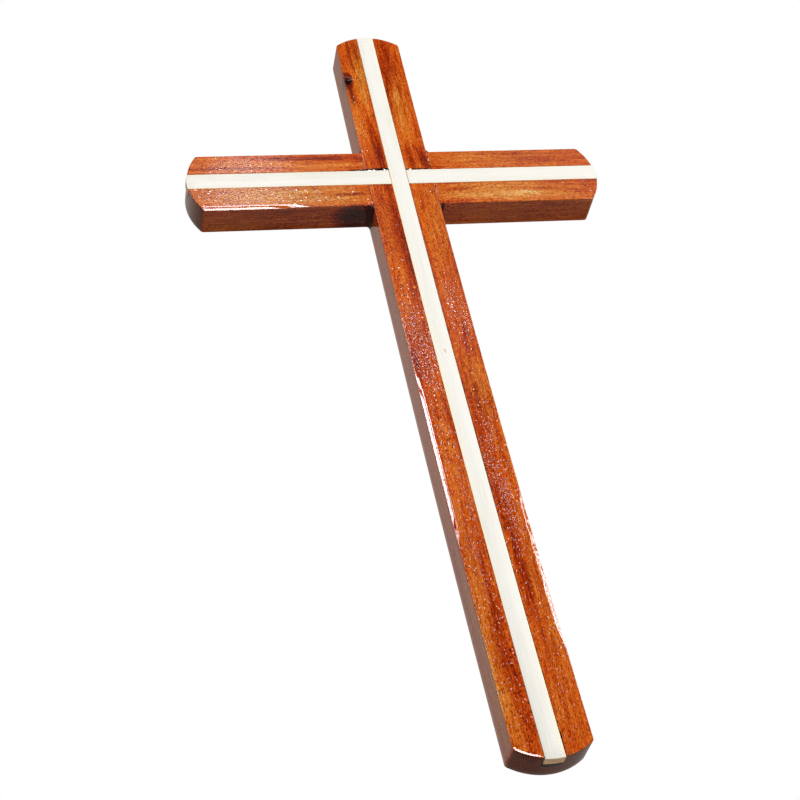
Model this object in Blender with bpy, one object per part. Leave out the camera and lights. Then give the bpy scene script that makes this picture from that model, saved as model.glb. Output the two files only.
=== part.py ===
# Wall cross: an upright and a crossbar of lacquered hardwood, lapped into each other,
# with strips of pale wood let into grooves along their fronts.
# Metres. +Z runs up the upright and the front looks along -Y. The origin is on the
# flat back that lies against the wall, at the middle of the crossing.

import math

import bmesh
import bpy

# The two bars
height = 0.305                # foot to head
head_length = 0.0757          # from the crossing's middle up to the head's end
span = 0.1523                 # across the two arms
left_arm = 0.0776             # from the crossing's middle out to the left arm's end
upright_width = 0.0245
crossbar_width = 0.026
thickness = 0.0115            # of both bars

# Their rounded ends and eased edges
head_rise = 0.0044            # how far the head's end curves out past its corners
foot_rise = 0.004
arm_rise = 0.0044
corner_round = 0.0012         # the corners at the four ends
edge_round = 0.0009           # along the front
back_round = 0.0004           # along the back

# The inlays and their grooves
long_inlay_width = 0.006
arm_inlay_width = 0.0066
inlay_thickness = 0.0035
long_inlay_shift = -0.0004    # the long inlay lies a little left of the upright's middle
arm_inlay_shift = 0.0007      # and the arm inlays a little above the crossbar's
inlay_bed = 0.0006            # the room left under an inlay
inlay_proud = 0.0003          # how far an inlay's end stands out of the bar's end

# The joints and the blind hole in the back that goes over a nail
joint_gap = 0.0003            # between pieces that are glued to each other
lap_skin = 0.002              # wood of the upright between its groove and the crossbar
nail_hole_diameter = 0.0085
nail_hole_floor = 0.0018      # wood left between the hole and the groove
nail_hole_from_end = 0.026    # from the head's end down to the hole's middle

# How finely the round shapes are cut
arc_steps = 16
round_steps = 3
round_profile = 0.5           # a true round for every eased edge
hole_sides = 32
smooth_angle = math.radians(35)
cutter_margin = 0.01          # how far a cutter runs past the wood it cuts

# What follows from these sizes
foot_length = height - head_length
right_arm = span - left_arm
front = -thickness
groove_floor = front + inlay_thickness + inlay_bed
lap_face = groove_floor + lap_skin

red_brown = (0.36, 0.10, 0.03, 1.0)
orange_brown = (0.42, 0.14, 0.05, 1.0)
cream = (0.86, 0.82, 0.70, 1.0)


def clear_scene():
    for item in list(bpy.data.objects):
        bpy.data.objects.remove(item)


def wood(name, colour, roughness):
    material = bpy.data.materials.new(name)
    material.use_nodes = True
    shader = material.node_tree.nodes["Principled BSDF"]
    shader.inputs["Base Color"].default_value = colour
    shader.inputs["Roughness"].default_value = roughness
    shader.inputs["Metallic"].default_value = 0.0
    return material


def end_arc(width, rise, tip, low, high):
    """Points (x, z) from x = low to x = high on the arc that ends a bar of this
    width. It reaches z = tip, and falls back by the rise at the bar's two sides."""
    half = width / 2
    radius = (half * half + rise * rise) / (2 * rise)
    outward = math.copysign(1.0, tip)
    start = math.asin(low / radius)
    sweep = math.asin(high / radius) - start
    points = []
    for step in range(arc_steps + 1):
        angle = start + sweep * step / arc_steps
        points.append((radius * math.sin(angle), tip - outward * radius * (1 - math.cos(angle))))
    return points


def square_end(place, low, high):
    return [(low, place), (high, place)]


def board(upper_end, lower_end, y_front, y_back):
    """A flat board between two ends, whose points both run from low x to high x."""
    shape = bmesh.new()
    outline = upper_end + lower_end[::-1]
    face = shape.faces.new([shape.verts.new((x, y_front, z)) for x, z in outline])
    push_out(shape, face, (0, y_back - y_front, 0))
    return shape


def push_out(shape, face, vector):
    grown = bmesh.ops.extrude_face_region(shape, geom=[face])
    moved = [item for item in grown["geom"] if isinstance(item, bmesh.types.BMVert)]
    bmesh.ops.translate(shape, verts=moved, vec=vector)
    bmesh.ops.recalc_face_normals(shape, faces=shape.faces)


def ease(shape, edges, radius):
    bmesh.ops.bevel(
        shape,
        geom=edges,
        offset=radius,
        offset_type="OFFSET",
        segments=round_steps,
        profile=round_profile,
        affect="EDGES",
        clamp_overlap=True,
        material=-1,
    )


def ease_bar(shape, width):
    """Rounds the corners where a bar's ends meet its sides, then its front and back rims."""
    tolerance = 1e-6

    def lies_in_side(edge):
        return all(abs(abs(v.co.x) - width / 2) < tolerance for v in edge.verts)

    def runs_in_depth(edge):
        return abs(edge.verts[0].co.y - edge.verts[1].co.y) > tolerance

    ease(shape, [edge for edge in shape.edges if lies_in_side(edge) and runs_in_depth(edge)], corner_round)
    for y, radius in ((front, edge_round), (0.0, back_round)):
        rim = [edge for edge in shape.edges if all(abs(v.co.y - y) < tolerance for v in edge.verts)]
        ease(shape, rim, radius)


def add_object(name, shape, parent):
    mesh = bpy.data.meshes.new(name)
    shape.to_mesh(mesh)
    shape.free()
    item = bpy.data.objects.new(name, mesh)
    item.parent = parent
    bpy.context.scene.collection.objects.link(item)
    return item


def finish(item, material):
    item.data.materials.append(material)
    item.data.shade_smooth()
    item.data.set_sharp_from_angle(angle=smooth_angle)


def cut(item, cutter):
    """Takes the cutter out of the item it is parented to."""
    cutter.hide_render = True
    cutter.display_type = "WIRE"
    boolean = item.modifiers.new("cut " + cutter.name, "BOOLEAN")
    boolean.operation = "DIFFERENCE"
    boolean.solver = "EXACT"
    boolean.object = cutter


def cut_box(item, name, x_range, y_range, z_range):
    ranges = (x_range, y_range, z_range)
    shape = bmesh.new()
    bmesh.ops.create_cube(shape, size=1.0)
    bmesh.ops.scale(shape, verts=shape.verts, vec=[high - low for low, high in ranges])
    bmesh.ops.translate(shape, verts=shape.verts, vec=[(low + high) / 2 for low, high in ranges])
    cut(item, add_object(name, shape, item))


def cut_groove(item, name, width, shift, length):
    """A groove down a bar's front, with room for an inlay of this width."""
    half = width / 2 + joint_gap
    cut_box(
        item,
        name,
        (shift - half, shift + half),
        (front - cutter_margin, groove_floor),
        (-length - cutter_margin, length + cutter_margin),
    )


def cut_nail_hole(upright):
    """A round blind hole, from the back in to its floor."""
    hole_end = groove_floor + nail_hole_floor
    shape = bmesh.new()
    bmesh.ops.create_circle(shape, cap_ends=True, radius=nail_hole_diameter / 2, segments=hole_sides)
    push_out(shape, shape.faces[:][0], (0, 0, cutter_margin - hole_end))
    cutter = add_object("nail_hole", shape, upright)
    cutter.location = (0, hole_end, head_length - nail_hole_from_end)
    cutter.rotation_euler = (-math.pi / 2, 0, 0)
    cut(upright, cutter)


def make_upright(cross):
    half = upright_width / 2
    head = end_arc(upright_width, head_rise, head_length, -half, half)
    foot = end_arc(upright_width, foot_rise, -foot_length, -half, half)
    shape = board(head, foot, front, 0.0)
    ease_bar(shape, upright_width)
    upright = add_object("upright", shape, cross)
    cut_groove(upright, "long_groove", long_inlay_width, long_inlay_shift, height)
    half_groove = arm_inlay_width / 2 + joint_gap
    cut_box(
        upright,
        "groove_across",
        (-upright_width, upright_width),
        (front - cutter_margin, groove_floor),
        (arm_inlay_shift - half_groove, arm_inlay_shift + half_groove),
    )
    half_lap = crossbar_width / 2 + joint_gap
    cut_box(
        upright,
        "back_lap",
        (-upright_width, upright_width),
        (lap_face, cutter_margin),
        (-half_lap, half_lap),
    )
    cut_nail_hole(upright)
    finish(upright, wood("upright_hardwood", red_brown, 0.3))


def make_crossbar(turned):
    """Made standing with the left arm's end on top, and turned by its parent."""
    half = crossbar_width / 2
    left_end = end_arc(crossbar_width, arm_rise, left_arm, -half, half)
    right_end = end_arc(crossbar_width, arm_rise, -right_arm, -half, half)
    shape = board(left_end, right_end, front, 0.0)
    ease_bar(shape, crossbar_width)
    crossbar = add_object("crossbar", shape, turned)
    cut_groove(crossbar, "arm_groove", arm_inlay_width, arm_inlay_shift, span)
    half_lap = upright_width / 2 + joint_gap
    cut_box(
        crossbar,
        "front_lap",
        (-crossbar_width, crossbar_width),
        (front - cutter_margin, lap_face + joint_gap),
        (-half_lap, half_lap),
    )
    finish(crossbar, wood("crossbar_hardwood", orange_brown, 0.3))


def make_inlay(name, upper_end, lower_end, parent):
    inlay = add_object(name, board(upper_end, lower_end, front, front + inlay_thickness), parent)
    finish(inlay, wood(name + "_pale_wood", cream, 0.4))


def make_long_inlay(cross):
    low = long_inlay_shift - long_inlay_width / 2
    high = long_inlay_shift + long_inlay_width / 2
    head = end_arc(upright_width, head_rise, head_length + inlay_proud, low, high)
    foot = end_arc(upright_width, foot_rise, -foot_length - inlay_proud, low, high)
    make_inlay("long_inlay", head, foot, cross)


def make_arm_inlays(turned):
    """They butt against the long inlay's sides. Turned as the crossbar is, the
    place up the standing bar is the distance to the left of the middle."""
    low = arm_inlay_shift - arm_inlay_width / 2
    high = arm_inlay_shift + arm_inlay_width / 2
    half_slot = long_inlay_width / 2 + joint_gap
    left_end = end_arc(crossbar_width, arm_rise, left_arm + inlay_proud, low, high)
    left_butt = square_end(-long_inlay_shift + half_slot, low, high)
    make_inlay("left_inlay", left_end, left_butt, turned)
    right_butt = square_end(-long_inlay_shift - half_slot, low, high)
    right_end = end_arc(crossbar_width, arm_rise, -right_arm - inlay_proud, low, high)
    make_inlay("right_inlay", right_butt, right_end, turned)


def add_empty(name, parent=None):
    empty = bpy.data.objects.new(name, None)
    empty.parent = parent
    bpy.context.scene.collection.objects.link(empty)
    return empty


def make_cross():
    clear_scene()
    cross = add_empty("wall_cross")
    turned = add_empty("crossbar_turn", cross)
    turned.rotation_euler = (0, -math.pi / 2, 0)
    make_upright(cross)
    make_crossbar(turned)
    make_long_inlay(cross)
    make_arm_inlays(turned)


make_cross()
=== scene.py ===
import math

import bmesh
import bpy
from mathutils import Matrix, Vector, noise


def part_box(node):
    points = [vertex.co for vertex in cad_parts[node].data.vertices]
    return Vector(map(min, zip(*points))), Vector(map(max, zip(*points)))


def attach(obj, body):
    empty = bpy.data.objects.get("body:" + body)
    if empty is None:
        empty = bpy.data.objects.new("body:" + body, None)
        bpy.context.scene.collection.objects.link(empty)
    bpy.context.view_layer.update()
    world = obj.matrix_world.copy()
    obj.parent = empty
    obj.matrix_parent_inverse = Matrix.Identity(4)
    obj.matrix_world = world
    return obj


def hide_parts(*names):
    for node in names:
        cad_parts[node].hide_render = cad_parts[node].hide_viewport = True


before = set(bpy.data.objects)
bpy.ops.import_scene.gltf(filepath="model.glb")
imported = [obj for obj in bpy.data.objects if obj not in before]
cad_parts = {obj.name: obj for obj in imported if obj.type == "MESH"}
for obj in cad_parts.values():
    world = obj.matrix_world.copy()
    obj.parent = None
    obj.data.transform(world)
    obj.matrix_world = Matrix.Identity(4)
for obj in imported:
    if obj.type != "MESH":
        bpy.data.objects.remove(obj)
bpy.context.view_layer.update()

mm = 0.001

print("wall cross: camera and light")

# Matched to the photo: seen from the foot end, low and a little to the left
camera = {
    "place": (-0.1522, -0.4393, -0.4171),  # metres
    "turn": (126.06, 10.93, -9.31),        # degrees
    "lens": 75.9,
    "sensor": 36,
    "nearest": 0.01,
}

# Soft boxes round a pale room: place, aim and size in metres, power in watts
softBoxes = {
    "keyBox": {
        "place": (1.6, -1.5, 0.12), "aim": (0, 0, -0.05), "size": (1.0, 0.6),
        "power": 13, "colour": "fff8ee",
    },
    "leftWindow": {
        "place": (-0.67, -1.16, 0.73), "aim": (0, 0, -0.12), "size": (0.56, 0.15),
        "power": 7.5, "colour": "f6f8ff",
    },
    "leftStrip": {
        "place": (-1.2, -0.6, 0.70), "aim": (0, 0, -0.12), "size": (0.9, 0.17),
        "power": 2, "colour": "ffffff",
    },
    "rightStrip": {
        "place": (1.0, -0.8, 0.50), "aim": (0, 0, -0.16), "size": (0.9, 0.1),
        "power": 5.6, "colour": "ffffff",
    },
    "nearLamp": {
        "place": (0.20, -1.5, -0.08), "aim": (-0.05, 0, 0), "size": (0.28, 0.26),
        "power": 5.6, "colour": "ffffff",
    },
    "farTubeLeft": {
        "place": (0.19, -1.5, 0.77), "aim": (0, 0, -0.1), "size": (0.17, 0.58),
        "power": 5.3, "colour": "f4f6ff",
    },
    "sideLamp": {
        "place": (0.06, -1.5, 0.91), "aim": (0, 0, 0), "size": (0.42, 0.16),
        "power": 4.2, "colour": "f4f6ff",
    },
    "farTubeRight": {
        "place": (0.80, -1.3, 0.74), "aim": (0, 0, -0.1), "size": (0.17, 0.54),
        "power": 5.0, "colour": "f4f6ff",
    },
}

# The room that lights the wood: its levels, and the slopes over which each gives way to the next
room = {
    "seen": 1.0,
    "colour": "fff7ed",
    "before": 0.04,         # on the camera's side of the cross
    "behindLow": 0.11,
    "behindMiddle": 0.27,
    "behindHigh": 0.58,
    "overhead": 0.76,       # share of the high level that is left overhead
    "beforeToBehind": (-0.35, 0.35),
    "lowToMiddle": (-0.6, -0.38),
    "middleToHigh": (-0.1, 0.6),
    "highToOverhead": (0.56, 0.76),
}
# Pale things further off that the lacquer mirrors softly: the way to each, its half width
# in degrees and its level
glows = (
    ((0.156, -0.726, 0.670), 5.2, 1.0),
    ((0.157, -0.710, 0.686), 1.5, 5.0),
    ((0.266, -0.750, 0.605), 4.0, 0.35),
    ((0.335, -0.667, 0.664), 5.0, 0.6),
)


def linear(hexColour):
    # sRGB hex to the linear values that Blender works in
    channels = [int(hexColour[i:i + 2], 16) / 255 for i in (0, 2, 4)]
    return [c / 12.92 if c <= 0.04045 else ((c + 0.055) / 1.055) ** 2.4 for c in channels] + [1.0]


def makeCamera():
    cam = bpy.data.objects.new("photoCamera", bpy.data.cameras.new("photoCamera"))
    cam.location = camera["place"]
    cam.rotation_euler = [math.radians(a) for a in camera["turn"]]
    cam.data.lens = camera["lens"]
    cam.data.sensor_width = camera["sensor"]
    cam.data.clip_start = camera["nearest"]
    bpy.context.collection.objects.link(cam)
    bpy.context.scene.camera = cam


def makeSoftBoxes():
    for name, box in softBoxes.items():
        light = bpy.data.lights.new(name, "AREA")
        light.shape = "RECTANGLE"
        light.size, light.size_y = box["size"]
        light.energy = box["power"]
        light.color = linear(box["colour"])[:3]
        lamp = bpy.data.objects.new(name, light)
        lamp.location = box["place"]
        towards = Vector(box["aim"]) - Vector(box["place"])
        lamp.rotation_euler = towards.to_track_quat("-Z", "Y").to_euler()
        bpy.context.collection.objects.link(lamp)


def feed(tree, value, socket):
    # a value is set, a socket is linked, and a node stands for its first output in use
    if isinstance(value, bpy.types.Node):
        value = next(output for output in value.outputs if output.enabled)
    if isinstance(value, bpy.types.NodeSocket):
        tree.links.new(value, socket)
    else:
        socket.default_value = value


def addNode(tree, kind, inputs=(), **settings):
    # inputs are listed in order, or keyed by name or number
    node = tree.nodes.new("ShaderNode" + kind)
    for key, value in settings.items():
        setattr(node, key, value)
    for key, value in inputs.items() if isinstance(inputs, dict) else enumerate(inputs):
        feed(tree, value, node.inputs[key])
    return node


def makeRoom():
    # the camera sees plain white, and the wood is lit by a pale grey room
    world = bpy.data.worlds.new("paleRoom")
    bpy.context.scene.world = world
    world.use_nodes = True
    tree = world.node_tree
    tree.nodes.clear()
    outwards = addNode(tree, "TexCoord").outputs["Generated"]
    way = addNode(tree, "SeparateXYZ", (outwards,))
    depth, height = way.outputs["Y"], way.outputs["Z"]
    low = addNode(
        tree, "MapRange", (height, *room["lowToMiddle"], room["behindLow"], room["behindMiddle"]),
        interpolation_type="SMOOTHSTEP",
    )
    high = addNode(
        tree, "MapRange", (height, *room["middleToHigh"], 0.0, room["behindHigh"] - room["behindMiddle"]),
        interpolation_type="SMOOTHSTEP",
    )
    overhead = addNode(
        tree, "MapRange", (height, *room["highToOverhead"], 1.0, room["overhead"]),
        interpolation_type="SMOOTHSTEP",
    )
    behind = addNode(tree, "Math", (low, high), operation="ADD")
    behind = addNode(tree, "Math", (behind, overhead), operation="MULTIPLY")
    strength = addNode(
        tree, "MapRange", (depth, *room["beforeToBehind"], room["before"], behind),
        interpolation_type="SMOOTHSTEP",
    )
    for towards, halfWidth, level in glows:
        aimed = addNode(tree, "VectorMath", (outwards, Vector(towards).normalized()), operation="DOT_PRODUCT")
        glow = addNode(
            tree, "MapRange", (aimed, math.cos(math.radians(halfWidth)), 1.0, 0.0, level),
            interpolation_type="SMOOTHSTEP",
        )
        strength = addNode(tree, "Math", (strength, glow), operation="ADD")
    seen = addNode(tree, "Background", {"Color": (1, 1, 1, 1), "Strength": room["seen"]})
    around = addNode(tree, "Background", {"Color": linear(room["colour"]), "Strength": strength})
    toCamera = addNode(tree, "LightPath").outputs["Is Camera Ray"]
    mix = addNode(tree, "MixShader", (toCamera, around, seen))
    addNode(tree, "OutputWorld", {"Surface": mix})
    bpy.context.scene.view_settings.view_transform = "Standard"


floorLook = {"level": -1.4, "size": 3.0, "colour": "e6e5e2", "roughness": 0.85}


def makeFloor():
    bm = bmesh.new()
    bmesh.ops.create_grid(bm, x_segments=2, y_segments=2, size=floorLook["size"] / 2)
    bmesh.ops.translate(bm, verts=bm.verts, vec=(0, 0, floorLook["level"]))
    mesh = bpy.data.meshes.new("studioFloor")
    bm.to_mesh(mesh)
    bm.free()
    floor = bpy.data.objects.new("studioFloor", mesh)
    bpy.context.collection.objects.link(floor)
    paint = bpy.data.materials.new("mattFloorPaint")  # matt paint: no shine at all
    paint.use_nodes = True
    shader = paint.node_tree.nodes["Principled BSDF"]
    shader.inputs["Base Color"].default_value = linear(floorLook["colour"])
    shader.inputs["Roughness"].default_value = floorLook["roughness"]
    mesh.materials.append(paint)


makeCamera()
makeSoftBoxes()
makeRoom()
makeFloor()

print("wall cross: sizes from the frame")

uprightLow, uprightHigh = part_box("upright")
crossbarLow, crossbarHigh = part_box("crossbar")
longLow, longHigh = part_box("long_inlay")
leftLow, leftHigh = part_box("left_inlay")
rightLow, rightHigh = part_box("right_inlay")

frontY = uprightLow[1]
jointGap = 0.3 * mm
cutterLength = 20 * mm  # well past the wood it cuts
tolerance = 1e-6        # closer than this is the same place

# Each bar is made standing, its middle on X = 0, and the crossbar is then turned to the left
uprightBar = {
    "width": uprightHigh[0] - uprightLow[0],
    "head": uprightHigh[2],
    "foot": uprightLow[2],
    "headRise": 4.4 * mm,
    "footRise": 4.0 * mm,
    "corners": {"headLeft": 1.2 * mm, "headRight": 1.2 * mm, "footLeft": 1.2 * mm, "footRight": 1.2 * mm},
    "frontRound": 0.4 * mm,
    "backRound": 0.4 * mm,
    "grooveLow": longLow[0] - jointGap,
    "grooveHigh": longHigh[0] + jointGap,
}
crossbarBar = {
    "width": crossbarHigh[2] - crossbarLow[2],
    "head": -crossbarLow[0],
    "foot": -crossbarHigh[0],
    "headRise": 4.4 * mm,
    "footRise": 4.4 * mm,
    "corners": {"headLeft": 1.2 * mm, "headRight": 2.2 * mm, "footLeft": 1.2 * mm, "footRight": 1.8 * mm},
    "frontRound": 0.4 * mm,
    "backRound": 0.4 * mm,
    "grooveLow": leftLow[2] - jointGap,
    "grooveHigh": leftHigh[2] + jointGap,
}
joint = {
    "grooveDepth": 4.45 * mm,
    "lapFace": frontY + 6.1 * mm,      # where the upright's back meets the crossbar
    "shoulderGap": 0.16 * mm,
    "nailHole": 8.5 * mm,
    "nailHoleFloor": frontY + 5.9 * mm,
    "nailHoleHeight": uprightHigh[2] - 26 * mm,
}
# How finely the bars are meshed. nearRim and besideRim are loops in from the eased rim
meshSteps = {
    "end": 48,
    "corner": 5,
    "frontRim": 6,
    "backRim": 3,
    "along": 1.5 * mm,
    "across": 0.7 * mm,
    "nearRim": (0.4 * mm, 0.7 * mm),
    "besideRim": (1.0 * mm, 1.3 * mm, 1.65 * mm),
    "deep": 1.9 * mm,
    "holeSides": 48,
    "sharpFrom": 35,  # degrees
}


def arcRadius(halfWidth, rise):
    return (halfWidth ** 2 + rise ** 2) / (2 * rise)


def curvedEnd(bm, halfWidth, tip, rise):
    # one corner, spun round to the other
    radius = arcRadius(halfWidth, rise)
    outward = math.copysign(1, tip)
    corner = bm.verts.new((-outward * halfWidth, frontY, tip - outward * rise))
    spun = bmesh.ops.spin(
        bm,
        geom=[corner],
        cent=(0, frontY, tip - outward * radius),
        axis=(0, 1, 0),
        angle=2 * math.asin(halfWidth / radius),
        steps=meshSteps["end"],
    )
    last = [g for g in spun["geom_last"] if isinstance(g, bmesh.types.BMVert)][0]
    return corner, last


def blank(bar, proud=0.0, backY=0.0):
    # a board with both ends curved, before anything is eased
    bm = bmesh.new()
    half = bar["width"] / 2
    headStart, headEnd = curvedEnd(bm, half, bar["head"] + proud, bar["headRise"])
    footStart, footEnd = curvedEnd(bm, half, bar["foot"] - proud, bar["footRise"])
    bm.edges.new((headEnd, footStart))
    bm.edges.new((footEnd, headStart))
    face = bmesh.ops.contextual_create(bm, geom=bm.edges[:])["faces"][0]
    grown = bmesh.ops.extrude_face_region(bm, geom=[face])
    moved = [g for g in grown["geom"] if isinstance(g, bmesh.types.BMVert)]
    bmesh.ops.translate(bm, verts=moved, vec=(0, backY - frontY, 0))
    bmesh.ops.recalc_face_normals(bm, faces=bm.faces[:])
    return bm


def roundOff(bm, edges, radius, segments):
    bmesh.ops.bevel(
        bm, geom=edges, offset=radius, offset_type="OFFSET", affect="EDGES",
        segments=segments, profile=0.5, clamp_overlap=True, material=-1,
    )


def nearly(a, b):
    return abs(a - b) < tolerance


def easeBar(bm, bar):
    half = bar["width"] / 2
    for name, radius in bar["corners"].items():
        side = -half if name.endswith("Left") else half
        isHead = name.startswith("head")
        edges = [
            e for e in bm.edges
            if all(nearly(v.co.x, side) and (v.co.z > 0) == isHead for v in e.verts)
            and not nearly(e.verts[0].co.y, e.verts[1].co.y)
        ]
        roundOff(bm, edges, radius, meshSteps["corner"])
    for y, radius, segments in (
        (frontY, bar["frontRound"], meshSteps["frontRim"]),
        (0.0, bar["backRound"], meshSteps["backRim"]),
    ):
        rim = [e for e in bm.edges if all(nearly(v.co.y, y) for v in e.verts)]
        roundOff(bm, rim, radius, segments)


def sliceAt(bm, place, normal):
    bmesh.ops.bisect_plane(
        bm, geom=bm.verts[:] + bm.edges[:] + bm.faces[:], dist=tolerance, plane_co=place, plane_no=normal,
    )


def evenly(low, high, step):
    count = max(1, round((high - low) / step))
    return [low + (high - low) * i / count for i in range(1, count)]


def sliceUp(bm, bar):
    # enough loops for the hand-worked unevenness to show in
    half = bar["width"] / 2
    front = max(bm.faces, key=lambda f: -f.normal.y * f.calc_area())
    done = 0.0
    for step in meshSteps["nearRim"]:
        bmesh.ops.inset_region(bm, faces=[front], thickness=step - done, use_even_offset=False)
        done = step
    rows = [half - bar["frontRound"] - step for step in meshSteps["besideRim"]]
    for x in [-row for row in rows] + rows + evenly(-rows[-1], rows[-1], meshSteps["across"]):
        sliceAt(bm, (x, 0, 0), (1, 0, 0))
    for y in evenly(frontY + bar["frontRound"], -bar["backRound"], meshSteps["deep"]):
        sliceAt(bm, (0, y, 0), (0, 1, 0))
    for z in evenly(bar["foot"], bar["head"], meshSteps["along"]):
        sliceAt(bm, (0, 0, z), (0, 0, 1))


def sliceFinely(bm, centre, reach, step):
    # closer loops round one spot of the front
    for axis, normal in ((0, (1, 0, 0)), (2, (0, 0, 1))):
        middle, half = centre[axis // 2], reach[axis // 2]
        for place in evenly(middle - half, middle + half, step):
            sliceAt(bm, [place if i == axis else 0 for i in range(3)], normal)


def toObject(name, bm):
    mesh = bpy.data.meshes.new(name)
    bm.to_mesh(mesh)
    bm.free()
    obj = bpy.data.objects.new(name, mesh)
    bpy.context.collection.objects.link(obj)
    return obj


def cutterBox(low, high):
    bm = bmesh.new()
    bmesh.ops.create_cube(bm, size=1)
    bmesh.ops.scale(bm, verts=bm.verts, vec=[h - l for l, h in zip(low, high)])
    bmesh.ops.translate(bm, verts=bm.verts, vec=[(h + l) / 2 for l, h in zip(low, high)])
    return toObject("cutter", bm)


def cutterRound(diameter, place):
    # a round cutter that starts at the place and runs back through the wood
    bm = bmesh.new()
    bmesh.ops.create_cone(
        bm, cap_ends=True, segments=meshSteps["holeSides"],
        radius1=diameter / 2, radius2=diameter / 2, depth=cutterLength,
    )
    bmesh.ops.rotate(bm, verts=bm.verts, cent=(0, 0, 0), matrix=Matrix.Rotation(math.pi / 2, 3, "X"))
    bmesh.ops.translate(bm, verts=bm.verts, vec=(place[0], place[1] + cutterLength / 2, place[2]))
    return toObject("cutter", bm)


def carve(obj, cutters):
    for cutter in cutters:
        cut = obj.modifiers.new("cut", "BOOLEAN")
        cut.operation = "DIFFERENCE"
        cut.solver = "EXACT"
        cut.object = cutter
    carved = bpy.data.meshes.new_from_object(obj.evaluated_get(bpy.context.evaluated_depsgraph_get()))
    obj.modifiers.clear()
    old = obj.data
    obj.data = carved
    carved.name = obj.name
    bpy.data.meshes.remove(old)
    for cutter in cutters:
        bpy.data.meshes.remove(cutter.data)


unevenness = {
    "depth": 0.10 * mm, "wave": 22 * mm, "away": (3.1, 0, 0),
    "fadesOver": 5 * mm,  # from the front back
}
# Where the sanding went deeper into a front edge: middle, half length and fade along the bar,
# width in from the edge, depth, and how ragged it is
sanded = {
    "leftArmLow": {
        "middle": -62 * mm, "half": 27 * mm, "fade": 15 * mm,
        "width": 1.35 * mm, "depth": 0.525 * mm, "ragged": 0.0,
    },
    "uprightLeft": {
        "middle": -123 * mm, "half": 35 * mm, "fade": 16 * mm,
        "width": 0.98 * mm, "depth": 0.425 * mm, "ragged": 0.0,
    },
    "uprightRight": {
        "middle": -166 * mm, "half": 30 * mm, "fade": 14 * mm,
        "width": 0.95 * mm, "depth": 0.28 * mm, "ragged": 0.8,
    },
    "footArc": {
        "middle": -8 * mm, "half": 8 * mm, "fade": 3 * mm,
        "width": 0.85 * mm, "depth": 0.14 * mm, "ragged": 0.0,
    },
}
raggedWave = (2.5 * mm, 1.5 * mm)  # along the edge and in from it
# The upright is not quite straight: its ends lean right and its middle left. The arms stay out of it
bow = {
    "middle": -76 * mm, "half": 148 * mm,
    "ends": 1.2 * mm, "skew": -0.12 * mm, "least": -0.62 * mm,
    "fade": (15 * mm, 40 * mm),
}
knotDent = {
    "at": (-11.2 * mm, 51.9 * mm), "reach": (3.4 * mm, 1.8 * mm), "depth": 0.16 * mm, "loops": 0.5 * mm,
}


def smooth(value):
    value = min(1.0, max(0.0, value))
    return value * value * (3 - 2 * value)


def sandedOff(spot, along, inFromEdge):
    reach = smooth((spot["half"] - abs(along - spot["middle"])) / spot["fade"])
    reach *= 1 + spot["ragged"] * noise.noise((along / raggedWave[0], inFromEdge / raggedWave[1], 0))
    return spot["depth"] * reach * max(0.0, 1 - inFromEdge / spot["width"])


def bentAt(z):
    # how far the upright's bend moves it sideways at this height
    u = (z - bow["middle"]) / bow["half"]
    return bow["ends"] * u ** 2 + bow["skew"] * u ** 3 + bow["least"]


def handWorked(co):
    # a true point moved to where the maker's sanding and the wood's own bend put it
    nearFront = max(0.0, 1 - (co.y - frontY) / unevenness["fadesOver"])
    sway = noise.noise(co / unevenness["wave"] + Vector(unevenness["away"]))
    depth = unevenness["depth"] * (0.5 + 0.5 * sway)
    halfWidth = uprightBar["width"] / 2
    if abs(co.x) > halfWidth + jointGap / 2:
        depth += sandedOff(sanded["leftArmLow"], co.x, co.z + crossbarBar["width"] / 2)
    elif abs(co.z) > crossbarBar["width"] / 2:
        depth += sandedOff(sanded["uprightLeft"], co.z, co.x + halfWidth)
        depth += sandedOff(sanded["uprightRight"], co.z, halfWidth - co.x)
        footRadius = arcRadius(halfWidth, uprightBar["footRise"])
        fromMiddle = math.hypot(co.x, co.z - uprightBar["foot"] - footRadius)
        if co.z < uprightBar["foot"] + uprightBar["width"] / 2:
            depth += sandedOff(sanded["footArc"], co.x, footRadius - fromMiddle)
        across = (co.x - knotDent["at"][0]) / knotDent["reach"][0]
        along = (co.z - knotDent["at"][1]) / knotDent["reach"][1]
        depth += knotDent["depth"] * smooth(1 - math.hypot(across, along))
    low, high = bow["fade"]
    shift = bentAt(co.z) * (1 - smooth((abs(co.x) - low) / (high - low)))
    return Vector((co.x + shift, co.y + depth * nearFront, co.z))


def finishMesh(obj, angle=meshSteps["sharpFrom"]):
    obj.data.shade_smooth()
    obj.data.set_sharp_from_angle(angle=math.radians(angle))


def workByHand(obj):
    for v in obj.data.vertices:
        v.co = handWorked(v.co)


# Lacquer pooled in the four inside corners, near black so that it also paints the corners' shade, and dark glue
# squeezed up beside the arm inlays
pooled = {"reach": 2.1 * mm, "fromFront": 0.25 * mm, "fromBack": 0.4 * mm, "into": 0.1 * mm}
squeezed = {
    "sides": 12, "along": 0.35 * mm, "sharpFrom": 60,
    "lumps": 0.3 * mm, "wave": 0.8 * mm, "seed": 2,
    "above": 0.15 * mm,    # over the arm inlay's upper edge
    "thinner": 0.02 * mm,  # than the opened seam it stands in
    "sunk": 0.04 * mm, "flat": 0.2, "least": 0.02 * mm,
    # from the thin end to the wide end: place along the inlay and radius
    "seams": (((-19 * mm, 0.45 * mm), (-3.3 * mm, 1.3 * mm)), ((13 * mm, 0.4 * mm), (2.5 * mm, 0.7 * mm))),
    # beads along the shoulders: side, low end and high end
    "shoulders": (
        (-1, 4.8 * mm, 12.6 * mm), (1, 4.5 * mm, 12.7 * mm),
        (1, -12.8 * mm, -3.0 * mm), (-1, -12.9 * mm, -10.0 * mm),
    ),
    "bead": 0.3 * mm,
}


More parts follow.
